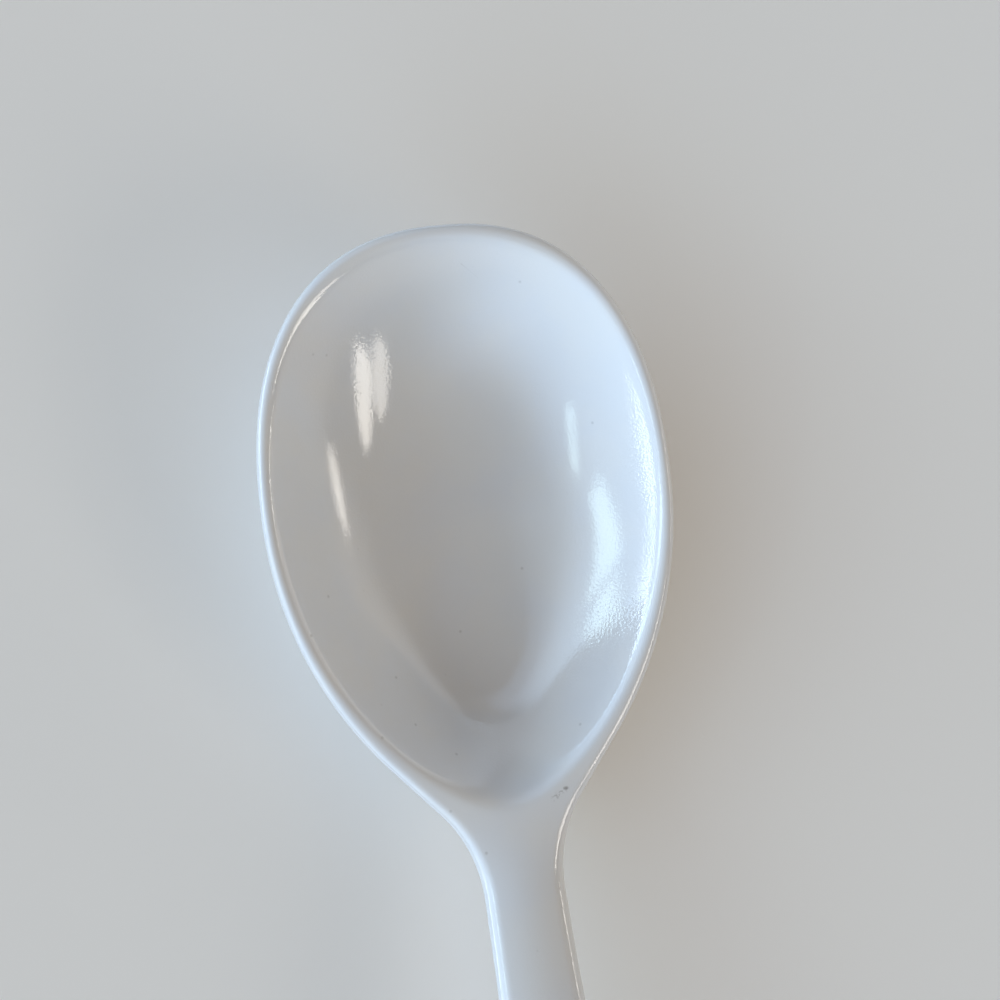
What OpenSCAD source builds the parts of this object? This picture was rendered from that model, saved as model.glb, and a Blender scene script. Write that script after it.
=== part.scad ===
// Serving spoon, moulded in one piece from gloss white melamine-type plastic.
// The moulding is held as five regions that meet face to face: the shell of the bowl, the rounded
// rim round it, the neck, the arched handle and the handle's rounded end.
// The tip of the bowl points along +Y, the handle along -Y and the hollow opens upward, +Z.
// The origin lies on the table, under the widest line of the bowl.

/* [Overall] */
// Length from the tip of the bowl to the end of the handle
overall_len = 245; // [215:1:280]

/* [Bowl] */
// Width across the bowl at its widest line, over the rim
bowl_w = 65; // [56:0.5:76]
// Length from the tip of the bowl back to the throat, where the hollow ends
bowl_len = 90; // [82:0.5:96]
// Length from the tip of the bowl back to its widest line
tip_len = 42; // [38:0.5:46]
// Bluntness of the tip in plan: 2 is an ellipse, more is squarer
tip_blunt = 2.35; // [2:0.05:2.8]
// Height of the rim above the table at the widest line
rim_h = 19.5; // [16:0.5:25]
// Upward tilt of the rim towards the tip, in degrees
rim_tilt = 6; // [2:0.5:9]
// Dip of the rim line between its two ends, in side view
rim_dip = 1.4; // [0:0.1:2.5]
// Thickness of the bowl's floor
floor_t = 2.6; // [2:0.1:4]
// Thickness of the heel's wall, measured along the spoon
heel_t = 4.6; // [4:0.1:6]
// Bend of the side and tip walls, as a share of the way out from the middle of the hollow
side_bend = 1.3; // [1.1:0.05:1.6]
// Flat floor towards the heel, as a share of the way back from the middle of the hollow
heel_floor = 0.6; // [0.45:0.01:0.66]
// Bend between that floor and the steep heel wall, as a share of the same way
heel_bend = 0.2; // [0.14:0.01:0.34]
// Flat of the underside towards the heel, as a share of the way back from the middle of the bowl
sole_floor = 0.45; // [0.3:0.01:0.5]
// Bend of the underside at the heel, as a share of the same way
sole_bend = 0.35; // [0.25:0.01:0.5]
// Lean of the egg-shaped hollow towards the tip
hollow_lean = 0.115; // [0.05:0.005:0.18]
// Extra fullness of the hollow at the tip, taken off at the throat
hollow_full = 0.17; // [0.1:0.01:0.24]
// Depth taken off the round underside to make the flat that the bowl rests on
rest_cut = 0.3; // [0.15:0.05:0.6]

/* [Rim] */
// Width of the rim, from the outside of the bowl to the edge of the hollow
rim_w = 1.9; // [1.6:0.1:3]
// Thickness of the rim
rim_t = 2.8; // [2.2:0.1:3.6]
// Width of the rounding on the rim's outer edge
rim_round = 1.8; // [1:0.1:2.3]
// Softness of the edge between the rim and the hollow
rim_soft = 1.7; // [1:0.1:3]

/* [Neck] */
// Width of the neck at its narrowest
neck_w = 12.8; // [10.5:0.1:17]
// Thickness of the neck
neck_t = 5.6; // [4.4:0.1:7.5]
// Radius in plan of each flank of the bowl, behind the widest line
flank_r = 63.5; // [54:0.5:80]
// Angle of each flank to the long axis where it runs straight, in degrees
flank_angle = 39; // [33:0.5:43]
// Radius in plan where each flank runs into the neck
shoulder_r = 22; // [14:0.5:32]
// Softness of the edge across the throat, between the hollow and the top of the neck
throat_soft = 2.2; // [1.4:0.1:5]
// Softness of the heel, where the underside of the bowl runs into the neck
heel_soft = 16; // [8:1:24]
// Length of the neck, from the throat to the start of the handle
neck_len = 30; // [24:0.5:38]

/* [Handle] */
// Greatest width of the handle, at the start of its rounded end
handle_w = 21; // [16:0.5:27]
// Thickness of the handle at its end
end_t = 4.6; // [3.6:0.1:6.4]
// Height of the handle's top at the highest point of its arch
arch_h = 22; // [18:0.5:30]
// Distance from the throat back to the highest point of the arch
arch_dist = 58; // [45:1:75]
// Length of the handle's rounded end
end_len = 14; // [9:0.5:20]
// Bluntness of that end in plan: 2 is an ellipse, more is squarer
end_blunt = 2.2; // [2:0.05:2.6]
// Width of the rounding along the handle's top edges
edge_round = 2.1; // [1.2:0.1:2.8]
// Width of the rounding along the handle's bottom edges
under_round = 2.8; // [1.4:0.1:3]
// Fall of the handle's top from its middle to its edges
top_crown = 1.2; // [0:0.1:1.5]
// Rise of the handle's underside from its middle to its edges
belly = 0.7; // [0:0.1:1]

/* [Hidden] */

white = [0.93, 0.93, 0.94];

half_bowl = bowl_w / 2;
half_neck = neck_w / 2;
half_handle = handle_w / 2;

// Places along the long axis
throat_y = tip_len - bowl_len;
end_y = tip_len - overall_len;
arch_y = throat_y - arch_dist;
round_y = end_y + end_len;
bowl_end_y = throat_y - neck_len / 8;
handle_y = throat_y - neck_len;

// The rim's form turns into the handle's between these two places
rim_form_y = throat_y + neck_len / 3;
handle_form_y = throat_y - neck_len / 2;

// The rim's soft inner edge turns into the throat's from here back to the throat
soft_change_y = throat_y + neck_len / 2;

// Depth of the handle's widest edge below its top, as a share of its thickness
edge_share = 0.45;

// Width of the rim's region: on the top, and on the underside of the bowl
top_band = rim_w + 0.6;
shell_band = 0.7 * rim_t;

// Short length over which the slope of the outline is measured
probe = 0.01;

// Tangent points of each flank: end of its arc, start of the shoulder, end of the shoulder
arc_y = -flank_r * sin(flank_angle);
arc_x = half_bowl - flank_r * (1 - cos(flank_angle));
shoulder_x = half_neck + shoulder_r * (1 - cos(flank_angle));
shoulder_y = arc_y - (arc_x - shoulder_x) / tan(flank_angle);
neck_y = shoulder_y - shoulder_r * sin(flank_angle);

// Blends

// Smooth step from 0 at a to 1 at b
function step(a, b, v) =
    let (t = min(1, max(0, (v - a) / (b - a))))
    t * t * (3 - 2 * t);

// The lower of two heights, with the corner between them rounded
function soft_min(a, b, soft) =
    let (h = max(0, 1 - abs(a - b) / soft))
    min(a, b) - soft * pow(h, 3) / 6;

// Cubic from height za and slope sa to height zb and slope sb over a length
function cubic(t, za, sa, zb, sb, len) =
    za * (1 + 2 * t) * pow(1 - t, 2) + sa * len * t * pow(1 - t, 2)
    + zb * t * t * (3 - 2 * t) + sb * len * t * t * (t - 1);

// Share of a quarter round left to fall at distance d in from an edge
function quarter(d, r) = d >= r ? 0 : 1 - sqrt(1 - pow(1 - d / r, 2));

// Plan of the spoon

// Half width behind the widest line, without the rounding of the handle's end
function half_width(y) =
    y >= arc_y ? half_bowl - flank_r + sqrt(flank_r * flank_r - y * y)
    : y >= shoulder_y ? arc_x - (arc_y - y) * tan(flank_angle)
    : y >= neck_y ? half_neck + shoulder_r - sqrt(shoulder_r * shoulder_r - pow(y - neck_y, 2))
    : half_neck + (half_handle - half_neck) * step(neck_y, round_y, y);

// A rib runs square across the spoon, or fans out from one point of the long axis at either end.
// It holds its outer end, its inner end and the cosine between it and the outline's normal.
function rib(y) =
    let (slope = (half_width(y + probe) - half_width(y - probe)) / (2 * probe))
    [[half_width(y), y], [0, y], 1 / sqrt(1 + slope * slope)];

function fan(a, y, half, len, blunt, way) =
    let (
        c = pow(max(0, cos(a)), 2 / blunt),
        s = pow(sin(a), 2 / blunt),
        out = [half * c, len * s],
        normal = [pow(c, blunt - 1) / half, pow(s, blunt - 1) / len]
    )
    [[out[0], y + way * out[1]], [0, y], (out * normal) / (norm(out) * norm(normal))];

// Side view

function rim_line(y) = rim_h + y * tan(rim_tilt) + rim_dip * pow(2 * y / bowl_len, 2);
rim_fall = tan(rim_tilt) + 8 * rim_dip * throat_y / (bowl_len * bowl_len);

// Height of the rim and of the handle's top along the spoon
function top_line(y) =
    let (fore = (throat_y - y) / arch_dist, aft = (arch_y - y) / (arch_y - end_y))
    y >= throat_y ? rim_line(y)
    : y >= arch_y ? cubic(fore, rim_line(throat_y), -rim_fall, arch_h, 0, arch_dist)
    : cubic(aft, arch_h, 0, end_t, 0, arch_y - end_y);

function thick(y) = neck_t + (end_t - neck_t) * step(throat_y, end_y, y);

// 0 along the bowl, 1 along the handle
function on_handle(y) = step(rim_form_y, handle_form_y, y);
function blend(bowl_value, handle_value, y) = bowl_value + (handle_value - bowl_value) * on_handle(y);

// Faces of the moulding

// Rise of a wall at a share of the way out: flat floor, then a bend, then a straight wall
function rise(out, flat, bend) =
    let (t = min(1, max(0, (out - flat) / bend)))
    bend * (pow(t, 3) - pow(t, 4) / 2) + max(0, out - flat - bend);

// Height share of an egg-shaped hollow: 0 in its middle, 1 on its outline.
// Its walls are round at the sides and the tip, and turn steep towards the heel.
function egg(p, half, tip, back, heel_flat, heel_curve) =
    let (
        v = (2 * p[1] - tip - back) / (tip - back),
        e = max(v, -1),
        w = half * (1 + hollow_lean * e + hollow_full * pow(e, 3)),
        out = norm([p[0] / w, v]),
        heel = out > 0 ? pow(min(0, v) / out, 2) : 0,
        flat = heel_flat * heel,
        bend = side_bend + (heel_curve - side_bend) * heel
    )
    rise(out, flat, bend) / rise(1, flat, bend);

function across(p) = p[0] / half_width(min(p[1], 0));

// The inside of the bowl and, past its edge, the top of the rim, neck and handle
function top_face(p) =
    let (
        line = top_line(p[1]),
        land = line - top_crown * on_handle(p[1]) * pow(across(p), 2),
        dip = egg(p, half_bowl - rim_w, tip_len - rim_w, throat_y, heel_floor, heel_bend),
        hollow = floor_t + (line - floor_t) * dip,
        soft = rim_soft + (throat_soft - rim_soft) * step(soft_change_y, throat_y, p[1])
    )
    soft_min(hollow, land, soft);

// The underside of the bowl, running into the underside of the neck and handle
function under_face(p) =
    let (
        line = top_line(p[1]),
        round = egg(p, half_bowl, tip_len, throat_y - heel_t, sole_floor, sole_bend),
        shell = (line - rim_t + rest_cut) * round - rest_cut,
        lift = pow(max(0, p[1] - throat_y), 2) / neck_len / 2,
        stem = line - thick(p[1]) + lift + belly * on_handle(p[1]) * pow(across(p), 2)
    )
    soft_min(shell, stem, heel_soft);

function edge_height(y) = top_line(y) - blend(rim_t / 2, thick(y) * edge_share, y);

// Distance of a point on a rib from the outline
function inset(r, p) = norm(r[0] - p) * r[2];

// Points of the two faces, with the outer edge rounded
function top_point(r, p) =
    let (
        y = r[0][1],
        z = top_face(p),
        q = quarter(inset(r, p), blend(rim_round, edge_round, y))
    )
    [p[0], p[1], z + (edge_height(y) - z) * q];

function under_point(r, p) =
    let (
        y = r[0][1],
        z = under_face(p),
        q = quarter(inset(r, p), blend(rim_round, under_round, y))
    )
    [p[0], p[1], max(0, z + (edge_height(y) - z) * q)];

// Stations along a rib, from its outer end to the inside of the rim's band and on to the long axis
edge_steps = [0, 0.02, 0.08, 0.19, 0.33, 0.5, 0.66, 0.82, 1];
inner_steps = [0, 0.12, 0.24, 0.36, 0.48, 0.6, 0.7, 0.8, 0.88, 0.95, 1];
function under_band(y) = blend(shell_band, top_band, y);

function edge_point(r, d) = r[0] + (r[1] - r[0]) * min(1, d / r[2] / norm(r[1] - r[0]));
function inner_point(r, d, s) = r[1] + (edge_point(r, d) - r[1]) * s;

// Pairs of points along a rib, one on the top and one on the underside
function edge_pairs(r) =
    let (u = under_band(r[0][1]))
    [for (s = edge_steps) [
        top_point(r, edge_point(r, s * top_band)),
        under_point(r, edge_point(r, s * u))
    ]];
function inner_pairs(r) =
    let (u = under_band(r[0][1]))
    [for (s = inner_steps) [
        top_point(r, inner_point(r, top_band, s)),
        under_point(r, inner_point(r, u, s))
    ]];

function mirrored(pairs) = [for (q = pairs) [for (p = q) [-p[0], p[1], p[2]]]];
function reversed(list) = [for (i = [len(list) - 1:-1:0]) list[i]];

// A full section, from the left of the spoon to the right
function inner_section(r) =
    let (half = inner_pairs(r))
    concat(reversed(mirrored(half)), [for (i = [1:len(half) - 1]) half[i]]);
function full_section(r) =
    let (
        rim_side = reversed(edge_pairs(r)),
        skirt = [for (i = [1:len(rim_side) - 1]) rim_side[i]]
    )
    concat(reversed(mirrored(skirt)), inner_section(r), skirt);

// A solid through sections made of pairs, closed along both sides and at each end but a folded one,
// where a fan brings the two halves of a section together
module solid(sections, folded = -1) {
    n = len(sections[0]);
    last = len(sections) - 1;
    points = [for (s = sections) for (q = s) for (p = q) p];
    function at(i, j, k) = (i * n + j) * 2 + k;
    tops = [for (i = [0:last - 1]) for (j = [0:n - 2])
        [at(i, j, 0), at(i, j + 1, 0), at(i + 1, j + 1, 0), at(i + 1, j, 0)]];
    unders = [for (i = [0:last - 1]) for (j = [0:n - 2])
        [at(i, j, 1), at(i + 1, j, 1), at(i + 1, j + 1, 1), at(i, j + 1, 1)]];
    lefts = [for (i = [0:last - 1])
        [at(i, 0, 0), at(i + 1, 0, 0), at(i + 1, 0, 1), at(i, 0, 1)]];
    rights = [for (i = [0:last - 1])
        [at(i, n - 1, 0), at(i, n - 1, 1), at(i + 1, n - 1, 1), at(i + 1, n - 1, 0)]];
    backs = [for (j = [0:n - 2]) if (folded != 0)
        [at(0, j, 0), at(0, j, 1), at(0, j + 1, 1), at(0, j + 1, 0)]];
    fronts = [for (j = [0:n - 2]) if (folded != last)
        [at(last, j, 0), at(last, j + 1, 0), at(last, j + 1, 1), at(last, j, 1)]];
    quads = concat(tops, unders, lefts, rights, backs, fronts);
    triangles = [for (q = quads) for (t = [[q[0], q[1], q[2]], [q[0], q[2], q[3]]]) t];
    // Where a fan or an edge closes to a point, the empty triangles are left out
    polyhedron(points, [for (t = triangles)
        if (points[t[0]] != points[t[1]] && points[t[1]] != points[t[2]] && points[t[2]] != points[t[0]]) t]);
}

function spaced(a, b, n) = [for (i = [0:n]) a + (b - a) * i / n];

bowl_ribs = concat(
    [for (y = spaced(bowl_end_y, 0, 30)) rib(y)],
    [for (a = spaced(0, 90, 20)) if (a > 0) fan(a, 0, half_bowl, tip_len, tip_blunt, 1)]
);
end_ribs = [for (a = spaced(90, 0, 12)) fan(a, round_y, half_handle, end_len, end_blunt, -1)];

module bowl() {
    color(white)
        solid([for (r = bowl_ribs) inner_section(r)], folded = len(bowl_ribs) - 1);
}

module rim() {
    right = [for (r = bowl_ribs) edge_pairs(r)];
    left = reversed([for (s = right) mirrored(s)]);
    color(white)
        solid(concat(right, [for (i = [1:len(left) - 1]) left[i]]));
}

module neck() {
    color(white)
        solid([for (y = spaced(handle_y, bowl_end_y, 12)) full_section(rib(y))]);
}

module handle() {
    color(white)
        solid([for (y = spaced(round_y, handle_y, 20)) full_section(rib(y))]);
}

module handle_end() {
    color(white)
        solid([for (r = end_ribs) full_section(r)], folded = 0);
}

bowl();
rim();
neck();
handle();
handle_end();
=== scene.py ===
import math

import bpy
import numpy as np
from mathutils import Matrix, Vector


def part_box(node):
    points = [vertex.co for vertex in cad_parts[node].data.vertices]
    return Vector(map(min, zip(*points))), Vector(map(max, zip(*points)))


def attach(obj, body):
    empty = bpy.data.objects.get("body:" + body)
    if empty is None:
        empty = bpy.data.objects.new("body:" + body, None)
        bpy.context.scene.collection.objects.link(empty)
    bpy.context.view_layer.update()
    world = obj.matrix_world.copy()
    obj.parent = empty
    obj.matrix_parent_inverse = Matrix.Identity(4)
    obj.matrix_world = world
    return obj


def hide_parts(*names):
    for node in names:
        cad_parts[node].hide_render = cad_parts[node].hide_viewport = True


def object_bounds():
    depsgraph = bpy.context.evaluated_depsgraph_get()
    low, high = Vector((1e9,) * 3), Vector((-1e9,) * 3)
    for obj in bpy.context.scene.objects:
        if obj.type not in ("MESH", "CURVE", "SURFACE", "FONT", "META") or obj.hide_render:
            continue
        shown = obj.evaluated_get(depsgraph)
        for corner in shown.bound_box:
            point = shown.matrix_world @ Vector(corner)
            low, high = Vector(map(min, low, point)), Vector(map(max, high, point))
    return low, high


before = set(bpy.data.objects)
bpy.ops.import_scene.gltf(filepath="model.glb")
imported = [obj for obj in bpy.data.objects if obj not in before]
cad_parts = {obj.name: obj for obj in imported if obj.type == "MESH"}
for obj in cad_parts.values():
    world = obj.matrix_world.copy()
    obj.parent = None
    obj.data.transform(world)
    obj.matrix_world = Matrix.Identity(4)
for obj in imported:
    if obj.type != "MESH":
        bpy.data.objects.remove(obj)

cad_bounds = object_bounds()

# OUTLINE
# The edge of the spoon seen from above, where the two halves of the mould part: a blunt tip, round flanks,
# straight runs to the shoulders, the neck, and a handle that widens to a rounded end.
# Lengths are in millimetres up to the mesh, and those that the frame holds are read from it.

MM = 1000.0
rim_low, rim_high = (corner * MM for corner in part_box("rim"))
neck_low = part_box("neck")[0] * MM
end_low, end_high = (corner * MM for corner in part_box("handle_end"))

half_bowl = rim_high.x
tip_len = rim_high.y
half_handle = end_high.x
bowl_end_y = rim_low.y
handle_y = neck_low.y
round_y = end_high.y
end_y = end_low.y

# The bowl runs this share of the neck's length past the throat.
bowl_past = 1 / 8
throat_y = (bowl_end_y - bowl_past * handle_y) / (1 - bowl_past)
neck_len = throat_y - handle_y
bowl_len = tip_len - throat_y
end_len = round_y - end_y

tip_blunt = 2.35
end_blunt = 2.2
half_neck = 6.4
flank_r = 63.5
flank_angle = math.radians(39)
shoulder_r = 22.0
arc_y = -flank_r * math.sin(flank_angle)
arc_x = half_bowl - flank_r * (1 - math.cos(flank_angle))
shoulder_x = half_neck + shoulder_r * (1 - math.cos(flank_angle))
shoulder_y = arc_y - (arc_x - shoulder_x) / math.tan(flank_angle)
neck_y = shoulder_y - shoulder_r * math.sin(flank_angle)


# Goes smoothly from 0 to 1 while the value goes from start to stop.
def ease(start, stop, value):
    t = np.clip((value - start) / (stop - start), 0, 1)
    return t * t * (3 - 2 * t)


# Half the spoon's width, from the bowl's widest line back to the rounded end of the handle.
def half_width(y):
    flank = half_bowl - flank_r + np.sqrt(np.maximum(0, flank_r**2 - y * y))
    straight = arc_x - (arc_y - y) * math.tan(flank_angle)
    shoulder = half_neck + shoulder_r - np.sqrt(np.maximum(0, shoulder_r**2 - (y - neck_y) ** 2))
    handle = half_neck + (half_handle - half_neck) * ease(neck_y, round_y, y)
    return np.select([y >= arc_y, y >= shoulder_y, y >= neck_y], [flank, straight, shoulder], handle)


# TOP LINE
# The rim and the handle's top seen from the side. The rim climbs towards the tip and sinks in a shallow curve
# between its ends; behind the throat the handle arches up and then comes down to its end.

rim_h = 19.5
rim_tilt = math.tan(math.radians(6))
rim_dip = 1.4
arch_back = 58.0
arch_y = throat_y - arch_back
arch_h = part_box("handle")[1].z * MM
neck_t = 5.6
end_t = 4.6


def rim_line(y):
    return rim_h + y * rim_tilt + rim_dip * (2 * y / bowl_len) ** 2


# A curve that leaves height za with slope sa and reaches height zb with slope sb.
def bent_line(t, za, sa, zb, sb, length):
    start = za * (1 + 2 * t) * (1 - t) ** 2 + sa * length * t * (1 - t) ** 2
    return start + zb * t * t * (3 - 2 * t) + sb * length * t * t * (t - 1)


def top_line(y):
    throat_slope = rim_tilt + 8 * rim_dip * throat_y / bowl_len**2
    up_share = (throat_y - y) / (throat_y - arch_y)
    down_share = (arch_y - y) / (arch_y - end_y)
    climb = bent_line(up_share, rim_line(throat_y), -throat_slope, arch_h, 0, throat_y - arch_y)
    descent = bent_line(down_share, arch_h, 0, end_t, 0, arch_y - end_y)
    return np.select([y >= throat_y, y >= arch_y], [rim_line(y), climb], descent)


def stem_thickness(y):
    return neck_t + (end_t - neck_t) * ease(throat_y, end_y, y)


# 0 on the bowl and 1 on the handle, changing over round the throat.
def on_handle(y):
    return ease(throat_y + neck_len / 3, throat_y - neck_len / 2, y)


def blend(bowl_value, handle_value, y):
    return bowl_value + (handle_value - bowl_value) * on_handle(y)


# HOLLOW AND UNDERSIDE
# The two faces that the mould halves press. The upper is the egg-shaped hollow of the bowl and the crowned
# top of the handle. The lower is the bowl's sole, cut off level where it rests, and the handle's belly.

floor_t = 2.6
rim_t = 2.8
rim_w = 1.9
heel_t = 4.6
side_bend = 1.3
heel_floor = 0.6
heel_bend = 0.2
sole_floor = 0.45
sole_bend = 0.35
hollow_lean = 0.115
hollow_full = 0.17
rest_cut = 0.3
rim_soft = 1.7
throat_soft = 2.2
heel_soft = 16.0
top_crown = 1.2
belly = 0.7


# The lower of two faces, with the corner between them rounded off.
def soft_min(a, b, soft):
    near = np.maximum(0, 1 - abs(a - b) / soft)
    return np.minimum(a, b) - soft * near**3 / 6


# Flat up to the first share of the way out, then bending into a straight slope.
def wall_rise(out, flat, bend):
    t = np.clip((out - flat) / bend, 0, 1)
    return bend * (t**3 - t**4 / 2) + np.maximum(0, out - flat - bend)


# 0 in the middle of an egg-shaped dish and 1 at its edge.
def dish(x, y, half, tip, back, heel_flat, heel_curve):
    along = (2 * y - tip - back) / (tip - back)
    fore = np.maximum(along, -1)
    width = half * (1 + hollow_lean * fore + hollow_full * fore**3)
    out = np.maximum(np.hypot(x / width, along), 1e-9)
    heel = (np.minimum(0, along) / out) ** 2
    flat = heel_flat * heel
    bend = side_bend + (heel_curve - side_bend) * heel
    return wall_rise(out, flat, bend) / wall_rise(1, flat, bend)


def share_across(x, y):
    return x / half_width(np.minimum(y, 0))


def top_face(x, y):
    line = top_line(y)
    land = line - top_crown * on_handle(y) * share_across(x, y) ** 2
    hollow = dish(x, y, half_bowl - rim_w, tip_len - rim_w, throat_y, heel_floor, heel_bend)
    soft = rim_soft + (throat_soft - rim_soft) * ease(throat_y + neck_len / 2, throat_y, y)
    return soft_min(floor_t + (line - floor_t) * hollow, land, soft)


def under_face(x, y):
    line = top_line(y)
    sole = dish(x, y, half_bowl, tip_len, throat_y - heel_t, sole_floor, sole_bend)
    shell = (line - rim_t + rest_cut) * sole - rest_cut
    lift = np.maximum(0, y - throat_y) ** 2 / neck_len / 2
    stem = line - stem_thickness(y) + lift + belly * on_handle(y) * share_across(x, y) ** 2
    return soft_min(shell, stem, heel_soft)


# SKIN
# The closed skin of the whole moulding, with the rounding that the mould gives its edge. It is made once,
# so that the regions cut from it below meet without a seam. Each rib runs from the long axis out to the edge,
# and the ribs follow each other from the handle's end to the tip.

end_steps = 36
handle_steps = 84
neck_steps = 40
flank_steps = 80
tip_steps = 72
slope_probe = 0.01


# A rib is a row: edge x and y, hub x and y, and the cosine between the rib and the edge's normal.
def straight_ribs(start, stop, steps):
    y = np.linspace(start, stop, steps + 1)
    slope = (half_width(y + slope_probe) - half_width(y - slope_probe)) / (2 * slope_probe)
    return np.stack([half_width(y), y, 0 * y, y, 1 / np.sqrt(1 + slope**2)], axis=1)


def fan_ribs(start, stop, steps, y, half, length, blunt):
    angle = np.radians(np.linspace(start, stop, steps + 1))
    c = np.maximum(0, np.cos(angle)) ** (2 / blunt)
    s = np.sin(angle) ** (2 / blunt)
    out = np.stack([half * c, abs(length) * s], axis=1)
    normal = np.stack([c ** (blunt - 1) / half, s ** (blunt - 1) / abs(length)], axis=1)
    cosine = (out * normal).sum(axis=1) / np.linalg.norm(out, axis=1) / np.linalg.norm(normal, axis=1)
    edge_y = y + np.sign(length) * out[:, 1]
    return np.stack([out[:, 0], edge_y, 0 * angle, y + 0 * angle, cosine], axis=1)


rib_runs = {
    "handle_end": fan_ribs(90, 0, end_steps, round_y, half_handle, -end_len, end_blunt),
    "handle": straight_ribs(round_y, handle_y, handle_steps),
    "neck": straight_ribs(handle_y, bowl_end_y, neck_steps),
    "bowl": straight_ribs(bowl_end_y, 0, flank_steps),
    "tip": fan_ribs(0, 90, tip_steps, 0, half_bowl, tip_len, tip_blunt),
}
ribs = rib_runs["handle_end"][:1]
first_rib = {}
for name, run in rib_runs.items():
    first_rib[name] = len(ribs) - 1
    ribs = np.concatenate([ribs, run[1:]])
last_rib = len(ribs) - 1

rim_round = 1.8
edge_round = 2.1
under_round = 2.8
edge_share = 0.45
band_past_rim = 0.6
top_band = rim_w + band_past_rim
shell_band = 0.7 * rim_t
inner_count = 46
edge_count = 24
inner_crowding = 1.6
edge_crowding = 2
inner_steps = 1 - (1 - np.linspace(0, 1, inner_count + 1)) ** inner_crowding
edge_steps = np.linspace(1, 0, edge_count + 1)[1:] ** edge_crowding


# How far a quarter round of radius r has fallen at distance d from the edge: 1 at the edge, 0 past r.
def quarter(d, r):
    return 1 - np.sqrt(1 - np.clip(1 - d / r, 0, 1) ** 2)


def face_points(face, band, rounding):
    edge, hub = ribs[:, None, 0:2], ribs[:, None, 2:4]
    cosine, edge_y = ribs[:, 4:5], ribs[:, 1:2]
    reach = np.linalg.norm(edge - hub, axis=2)
    width = band(edge_y)
    edge_in = np.minimum(1, edge_steps * width / cosine / reach)
    band_in = np.minimum(1, width / cosine / reach)
    from_hub = np.concatenate([inner_steps * (1 - band_in), 1 - edge_in], axis=1)
    p = hub + (edge - hub) * from_hub[:, :, None]
    x, y = p[:, :, 0], p[:, :, 1]
    z = face(x, y)
    edge_z = top_line(edge_y) - blend(rim_t / 2, stem_thickness(edge_y) * edge_share, edge_y)
    z = z + (edge_z - z) * quarter((1 - from_hub) * reach * cosine, rounding(edge_y))
    return np.stack([x, y, np.maximum(0, z)], axis=2)


top_grid = face_points(
    top_face,
    lambda y: np.full_like(y, top_band),
    lambda y: blend(rim_round, edge_round, y),
)
under_grid = face_points(
    under_face,
    lambda y: blend(shell_band, top_band, y),
    lambda y: blend(rim_round, under_round, y),
)
other_side = np.array([-1, 1, 1])
sheets = np.stack([top_grid, top_grid * other_side, under_grid, under_grid * other_side])
TOP_RIGHT, TOP_LEFT, UNDER_RIGHT, UNDER_LEFT = range(4)
box_low, box_high = (np.array(corner) * MM for corner in cad_bounds)
sheets = np.clip(sheets, box_low, box_high)
skin_points, point_of = np.unique(np.round(sheets.reshape(-1, 3), 6), axis=0, return_inverse=True)
point_of = point_of.reshape(sheets.shape[:3])


def quads_of(near, far, turned):
    quads = np.stack([near[:-1], near[1:], far[1:], far[:-1]], axis=-1).reshape(-1, 4)
    return quads[:, ::-1] if turned else quads


def sheet_faces(rib_span, station_span):
    ribs_in = slice(rib_span[0], rib_span[1] + 1)
    stations = slice(station_span[0], station_span[1] + 1)
    found = []
    for sheet in range(4):
        at = point_of[sheet, ribs_in, stations].T
        found.append(quads_of(at[:, :-1], at[:, 1:], sheet in (TOP_LEFT, UNDER_RIGHT)))
    return np.concatenate(found)


# The cut across the moulding at a rib, facing the tip (1) or the handle's end (-1).
def cap_faces(rib, station_span, facing):
    at = point_of[:, rib, station_span[0] : station_span[1] + 1]
    right = quads_of(at[UNDER_RIGHT], at[TOP_RIGHT], facing > 0)
    left = quads_of(at[UNDER_LEFT], at[TOP_LEFT], facing < 0)
    return np.concatenate([right, left])


# The cut between the bowl and the rim, facing the rim (1) or the bowl (-1).
def seam_faces(rib_span, facing):
    at = point_of[:, rib_span[0] : rib_span[1] + 1, inner_count]
    right = quads_of(at[UNDER_RIGHT], at[TOP_RIGHT], facing < 0)
    left = quads_of(at[UNDER_LEFT], at[TOP_LEFT], facing > 0)
    return np.concatenate([right, left])


# Drops the corners that coincide, and the faces that shrink to a line.
def whole_faces(quads):
    kept = [[c for i, c in enumerate(quad) if c != quad[i - 1]] for quad in quads.tolist()]
    return [face for face in kept if len(face) > 2]


all_stations = (0, inner_count + edge_count)
skin = bpy.data.meshes.new("skin")
skin.from_pydata(skin_points.tolist(), [], whole_faces(sheet_faces((0, last_rib), all_stations)))
skin_normals = np.zeros(len(skin.vertices) * 3)
skin.vertex_normals.foreach_get("vector", skin_normals)
skin_normals = skin_normals.reshape(-1, 3)
bpy.data.meshes.remove(skin)

# WHITE MELAMINE
# The plastic of the whole spoon: an even white with a faint cloudiness and a few dark specks from pressing.
# It has a mirror gloss over a very fine skin grain, a dark scuff at the throat and a hair scratch inside the
# tip. Noise scales are in cells a metre and depths in metres.

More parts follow.
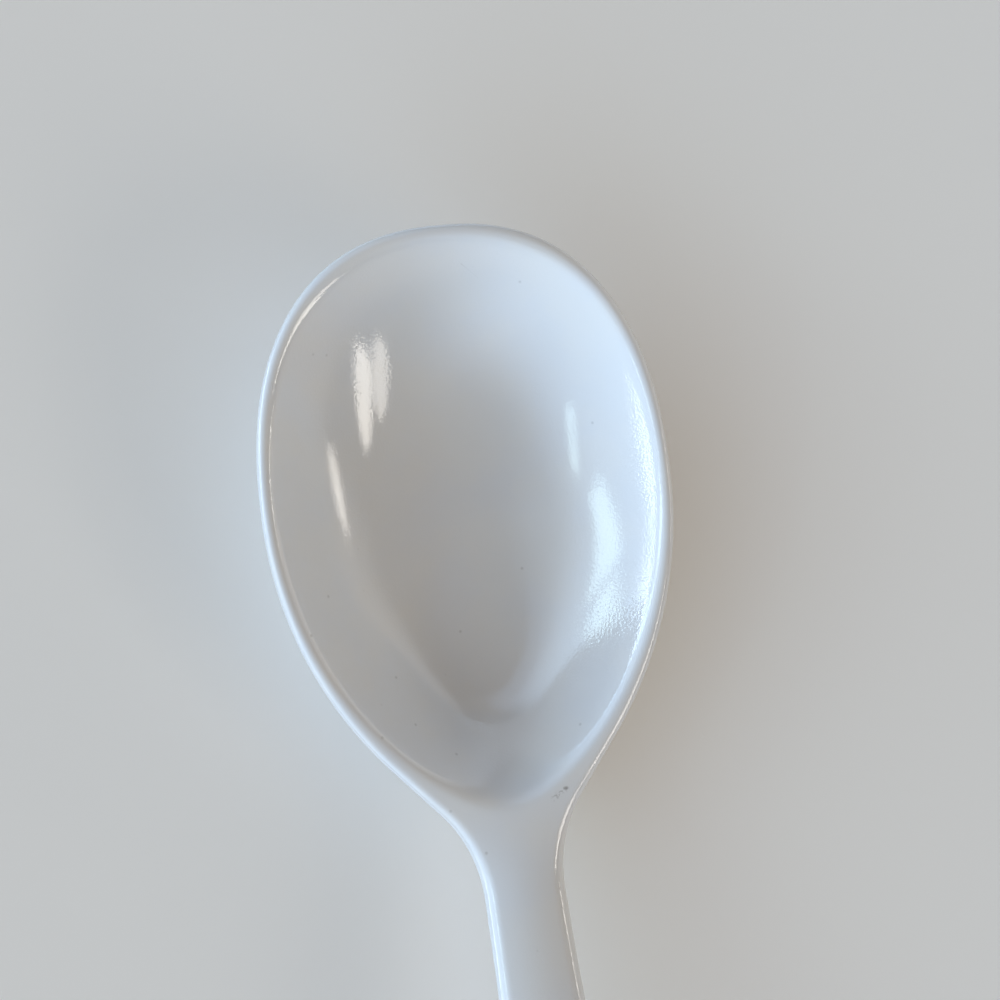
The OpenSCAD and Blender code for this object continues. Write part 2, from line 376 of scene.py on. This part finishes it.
cool_white = (0.715, 0.725, 0.745, 1)
warm_white = (0.735, 0.735, 0.735, 1)
speck_grey = (0.30, 0.29, 0.28, 1)
scuff_grey = (0.20, 0.19, 0.18, 1)
melamine_ior = 1.8
cloud_scale, cloud_detail, cloud_range = 90.0, 3.0, (0.35, 0.65)
speck_scale, speck_reach, speck_core, speck_share = 190.0, 0.075, 0.01, 0.35
crumb_scale, crumb_detail, crumb_range = 2600.0, 2.0, (0.48, 0.62)
scuff_start, scuff_stop = (8.4, -47.3, 16.0), (8.6, -47.3, 16.0)
scuff_width, scuff_share = 0.45, 0.8
trail_start, trail_stop = (8.5, -47.3, 16.0), (6.4, -48.5, 15.9)
trail_width, trail_share = 0.75, 0.45
hair_start, hair_stop = (3.2, 36.6, 20.6), (5.8, 34.6, 18.8)
hair_width, hair_share = 0.16, 0.25
polish_scale, polish_detail, polish_range = 260.0, 4.0, (0.3, 0.7)
finest_polish, dullest_polish = 0.035, 0.065
peel_scale, peel_depth = 500.0, 0.000006
grain_scale, grain_depth = 2600.0, 0.000014


def add_node(tree, kind, **settings):
    node = tree.nodes.new(kind)
    for key, value in settings.items():
        setattr(node, key, value)
    return node


def plug(tree, socket, source):
    if isinstance(source, bpy.types.NodeSocket):
        tree.links.new(source, socket)
    else:
        socket.default_value = source


def feed(tree, node, **sources):
    for socket_name, source in sources.items():
        plug(tree, node.inputs[socket_name.replace("_", " ")], source)
    return node


def eased_range(tree, value, start, stop, first=0.0, last=1.0):
    node = add_node(tree, "ShaderNodeMapRange", interpolation_type="SMOOTHSTEP")
    feed(tree, node, Value=value, From_Min=start, From_Max=stop, To_Min=first, To_Max=last)
    return node.outputs["Result"]


def product(tree, a, b):
    node = add_node(tree, "ShaderNodeMath", operation="MULTIPLY")
    plug(tree, node.inputs[0], a)
    plug(tree, node.inputs[1], b)
    return node.outputs["Value"]


def vector_math(tree, operation, a, b):
    node = add_node(tree, "ShaderNodeVectorMath", operation=operation)
    plug(tree, node.inputs[0], a)
    plug(tree, node.inputs[1], b)
    return node


def mixed(tree, below, colour, share, blend_type="MIX"):
    node = add_node(tree, "ShaderNodeMix", data_type="RGBA", blend_type=blend_type)
    return feed(tree, node, Factor=share, A=below, B=colour).outputs["Result"]


plastic = bpy.data.materials.new("white_melamine")
plastic.use_nodes = True
coat = plastic.node_tree
gloss = coat.nodes["Principled BSDF"]
place = add_node(coat, "ShaderNodeTexCoord").outputs["Object"]


def noise(scale, detail):
    node = feed(coat, add_node(coat, "ShaderNodeTexNoise"), Vector=place, Scale=scale, Detail=detail)
    return node.outputs["Fac"]


# 1 on a straight mark between two places on the skin, fading to 0 at its width.
def line_mark(start, stop, width):
    start, stop = Vector(start) / MM, Vector(stop) / MM
    along = stop - start
    offset = vector_math(coat, "SUBTRACT", place, start).outputs["Vector"]
    way = vector_math(coat, "DOT_PRODUCT", offset, along / along.length_squared).outputs["Value"]
    held = feed(coat, add_node(coat, "ShaderNodeClamp"), Value=way).outputs["Result"]
    nearest = add_node(coat, "ShaderNodeVectorMath", operation="SCALE")
    plug(coat, nearest.inputs[0], along)
    plug(coat, nearest.inputs["Scale"], held)
    gap = vector_math(coat, "DISTANCE", offset, nearest.outputs["Vector"]).outputs["Value"]
    return eased_range(coat, gap, width / MM, 0.0)


shade = mixed(coat, cool_white, warm_white, eased_range(coat, noise(cloud_scale, cloud_detail), *cloud_range))
cells = feed(coat, add_node(coat, "ShaderNodeTexVoronoi", feature="F1"), Vector=place, Scale=speck_scale)
specks = eased_range(coat, cells.outputs["Distance"], speck_reach, speck_core)
shade = mixed(coat, shade, speck_grey, product(coat, specks, speck_share))
scuff = line_mark(scuff_start, scuff_stop, scuff_width)
shade = mixed(coat, shade, scuff_grey, product(coat, scuff, scuff_share))
crumbs = eased_range(coat, noise(crumb_scale, crumb_detail), *crumb_range)
trail = product(coat, line_mark(trail_start, trail_stop, trail_width), crumbs)
shade = mixed(coat, shade, scuff_grey, product(coat, trail, trail_share))
hair = line_mark(hair_start, hair_stop, hair_width)
shade = mixed(coat, shade, speck_grey, product(coat, hair, hair_share))
polish = noise(polish_scale, polish_detail)
roughness = eased_range(coat, polish, *polish_range, finest_polish, dullest_polish)
peel = add_node(coat, "ShaderNodeBump")
feed(coat, peel, Strength=1.0, Distance=peel_depth, Height=noise(peel_scale, 1.0))
grain = add_node(coat, "ShaderNodeBump")
feed(coat, grain, Strength=1.0, Distance=grain_depth, Height=noise(grain_scale, 1.0))
feed(coat, grain, Normal=peel.outputs["Normal"])
feed(coat, gloss, Base_Color=shade, Roughness=roughness, IOR=melamine_ior, Normal=grain.outputs["Normal"])

# BOWL
# The shell of the bowl: a deep egg-shaped hollow, round at the sides and steep at the heel.
# It is plain melamine about 2.6 mm thick at the floor, pressed with the rest, and stands on a small flat
# on its underside.


def make_region(name, skin_quads, hidden_quads):
    skin_faces, hidden_faces = whole_faces(skin_quads), whole_faces(hidden_quads)
    faces = skin_faces + hidden_faces
    used = np.unique(np.concatenate(faces))
    number_of = dict(zip(used.tolist(), range(len(used))))
    mesh = bpy.data.meshes.new(name)
    mesh.from_pydata((skin_points[used] / MM).tolist(), [], [[number_of[c] for c in face] for face in faces])
    mesh.polygons.foreach_set("use_smooth", [True] * len(faces))
    loop_normals = skin_normals[np.concatenate(skin_faces)].tolist()
    for polygon in mesh.polygons[len(skin_faces) :]:
        loop_normals += [list(polygon.normal)] * polygon.loop_total
    mesh.normals_split_custom_set(loop_normals)
    mesh.materials.append(plastic)
    region = bpy.data.objects.new(name + "_region", mesh)
    bpy.context.collection.objects.link(region)
    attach(region, "root")
    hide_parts(name)


bowl_ribs = (first_rib["bowl"], last_rib)
inner_stations = (0, inner_count)
make_region(
    "bowl",
    sheet_faces(bowl_ribs, inner_stations),
    np.concatenate([seam_faces(bowl_ribs, 1), cap_faces(bowl_ribs[0], inner_stations, -1)]),
)

# RIM
# The rounded bead round the mouth of the bowl, from one shoulder round the tip to the other.
# It is the same melamine, pressed with the rest, with its edge rounded in the mould.

edge_stations = (inner_count, inner_count + edge_count)
make_region(
    "rim",
    sheet_faces(bowl_ribs, edge_stations),
    np.concatenate([seam_faces(bowl_ribs, -1), cap_faces(bowl_ribs[0], edge_stations, -1)]),
)

# NECK
# The narrowest part, where the shoulders run out of the bowl and the handle begins.
# It is solid melamine, pressed with the rest.


def make_stem_region(name, stem_ribs):
    back, front = stem_ribs
    cuts = [cap_faces(front, all_stations, 1)]
    if back > 0:
        cuts.insert(0, cap_faces(back, all_stations, -1))
    make_region(name, sheet_faces(stem_ribs, all_stations), np.concatenate(cuts))


make_stem_region("neck", (first_rib["neck"], first_rib["bowl"]))

# HANDLE
# The arched handle, slightly crowned on top, which widens towards its end.
# It is solid melamine, pressed with the rest.

make_stem_region("handle", (first_rib["handle"], first_rib["neck"]))

# HANDLE END
# The rounded end of the handle, which comes down to the level that the bowl rests on.
# It is solid melamine, pressed with the rest.

make_stem_region("handle_end", (first_rib["handle_end"], first_rib["handle"]))

# FLOOR
# A plain pale floor that takes the spoon's shadow, matt and without a pattern. It lies a hair below the
# spoon, so that the two faces don't coincide. Lengths from here on are in metres.

floor_half = 3.0
floor_drop = 0.00003
floor_corners = ((-1, -1), (1, -1), (1, 1), (-1, 1))
pale_colour = (0.90, 0.87, 0.83, 1)
matt_roughness = 0.9
matt_shine = 0.1
floor_mesh = bpy.data.meshes.new("table_top")
floor_places = [(x * floor_half, y * floor_half, -floor_drop) for x, y in floor_corners]
floor_mesh.from_pydata(floor_places, [], [(0, 1, 2, 3)])
table_top = bpy.data.objects.new("table_top", floor_mesh)
bpy.context.collection.objects.link(table_top)
floor_paint = bpy.data.materials.new("pale_table")
floor_paint.use_nodes = True
floor_coat = floor_paint.node_tree
matt = floor_coat.nodes["Principled BSDF"]
feed(floor_coat, matt, Base_Color=pale_colour, Roughness=matt_roughness, Specular_IOR_Level=matt_shine)
floor_mesh.materials.append(floor_paint)

# LIGHT
# A soft studio: a dim room with a faint ceiling light, a broad cool glow from the left, low light along the
# far left and the right, a bounce from the right and a faint one from the far side, and a few small bright
# panes whose reflections show the gloss. Directions are azimuth from +X and elevation, in degrees.

room_light = (0.115, 0.108, 0.10, 1)
left_glow = (1.45, 1.93, 2.5, 1)
ceiling_light = (0.18, 0.12, 0.04, 1)
sill_light = (1.3, 2.0, 2.8, 1)
shelf_light = (0.38, 0.37, 0.36, 1)
bounce_light = (0.8, 0.83, 0.86, 1)
far_light = (0.26, 0.40, 0.62, 1)
backdrop_white = (0.80, 0.80, 0.80, 1)

# Each spread is the cosine of the angle from the direction where the light starts and where it is full, and
# each fade is the height of the ray, 0 level and 1 straight up, where it starts and where it is full.
glow_from, glow_spread, glow_fade = (200, 16), (0.0, 0.85), (0.88, 0.25)
ceiling_fade = (0.2, 0.7)
sill_from, sill_spread, sill_fade = (128, 3), (0.3, 0.9), (0.13, 0.07)
shelf_from, shelf_spread, shelf_fade = (320, 3), (-0.3, 0.5), (0.2, 0.1)
bounce_from, bounce_spread = (20, 4), (0.8, 0.99)
far_from, far_spread = (125, 52), (0.8, 0.98)


def direction(azimuth, elevation):
    a, e = math.radians(azimuth), math.radians(elevation)
    return Vector((math.cos(e) * math.cos(a), math.cos(e) * math.sin(a), math.sin(e)))


world = bpy.data.worlds.new("studio")
bpy.context.scene.world = world
world.use_nodes = True
sky = world.node_tree
sky.nodes.clear()
ray = add_node(sky, "ShaderNodeTexCoord").outputs["Generated"]
split_ray = add_node(sky, "ShaderNodeSeparateXYZ")
plug(sky, split_ray.inputs[0], ray)
ray_height = split_ray.outputs["Z"]


def lobe(middle, spread):
    near = vector_math(sky, "DOT_PRODUCT", ray, direction(*middle)).outputs["Value"]
    return eased_range(sky, near, *spread)


def faded(fade):
    return eased_range(sky, ray_height, *fade)


studio_light = room_light
for colour, share in (
    (left_glow, product(sky, lobe(glow_from, glow_spread), faded(glow_fade))),
    (ceiling_light, faded(ceiling_fade)),
    (sill_light, product(sky, lobe(sill_from, sill_spread), faded(sill_fade))),
    (shelf_light, product(sky, lobe(shelf_from, shelf_spread), faded(shelf_fade))),
    (bounce_light, lobe(bounce_from, bounce_spread)),
    (far_light, lobe(far_from, far_spread)),
):
    studio_light = mixed(sky, studio_light, colour, share, "ADD")
seen_directly = add_node(sky, "ShaderNodeLightPath").outputs["Is Camera Ray"]
seen = mixed(sky, studio_light, backdrop_white, seen_directly)
backdrop = feed(sky, add_node(sky, "ShaderNodeBackground"), Color=seen)
feed(sky, add_node(sky, "ShaderNodeOutputWorld"), Surface=backdrop.outputs["Background"])

# The lamps stand beyond the floor's edge, so that none of them makes a bright bar on it.
lamp_reach = 5.0
warm = (1.0, 0.95, 0.87)
cool = (0.68, 0.96, 1.0)
pale_cool = (0.88, 0.98, 1.0)


# A flat lamp that runs from one direction to another and is this many degrees wide.
def strip_lamp(name, shape, start, stop, width, brightness, colour):
    a, b = direction(*start) * lamp_reach, direction(*stop) * lamp_reach
    middle = (a + b) / 2
    back = middle.normalized()
    side = back.cross(b - a).normalized()
    along = side.cross(back)
    data = bpy.data.lights.new(name, "AREA")
    data.shape = shape
    data.size = 2 * lamp_reach * math.tan(math.radians(width / 2))
    data.size_y = (b - a).length
    filled = math.pi / 4 if shape == "ELLIPSE" else 1
    data.energy = brightness * math.pi * data.size * data.size_y * filled
    data.color = colour
    lamp = bpy.data.objects.new(name, data)
    turned = Matrix((side, along, back)).transposed().to_4x4()
    lamp.matrix_world = Matrix.Translation(middle) @ turned
    lamp.visible_camera = False
    bpy.context.collection.objects.link(lamp)


strip_lamp("right_pane_a", "ELLIPSE", (-47, 14.2), (-19, 31.0), 8.0, 4.9, warm)
strip_lamp("right_pane_b", "ELLIPSE", (-55, 17.0), (-32, 35.5), 8.0, 3.5, warm)
strip_lamp("right_slit", "ELLIPSE", (-14, 10.5), (2, 17.5), 3.4, 5.2, warm)
strip_lamp("left_pane_low", "RECTANGLE", (154, 6.5), (166, 15.7), 5.0, 3.1, cool)
strip_lamp("left_pane_high", "RECTANGLE", (167.5, 16.8), (181, 23.5), 8.5, 3.1, cool)
strip_lamp("left_slit", "RECTANGLE", (203, 25.5), (186, 31.5), 4.0, 2.9, cool)
strip_lamp("left_sill", "RECTANGLE", (150, 3), (215, 3), 4.0, 3.2, pale_cool)

# CAMERA
# The view of the photograph: from above the bowl, a little to its left and behind its middle.
# The place and the turns were fitted to the spoon's outline, for a lens as long as its sensor is wide.

camera_place = Vector((-0.01755, -0.01173, 0.17395))
camera_pitch = math.radians(-3.926)
camera_yaw = math.radians(7.979)
camera_roll = math.radians(7.648)
lens_and_sensor = 36
nearest_seen = 0.01
lens = bpy.data.cameras.new("photo_view")
lens.lens = lens_and_sensor
lens.sensor_width = lens_and_sensor
lens.clip_start = nearest_seen
camera = bpy.data.objects.new("photo_view", lens)
turn = (
    Matrix.Rotation(-camera_pitch, 4, "X")
    @ Matrix.Rotation(-camera_yaw, 4, "Y")
    @ Matrix.Rotation(-camera_roll, 4, "Z")
)
camera.matrix_world = Matrix.Translation(camera_place) @ turn
bpy.context.collection.objects.link(camera)
bpy.context.scene.camera = camera
bpy.context.scene.view_settings.view_transform = "Standard"
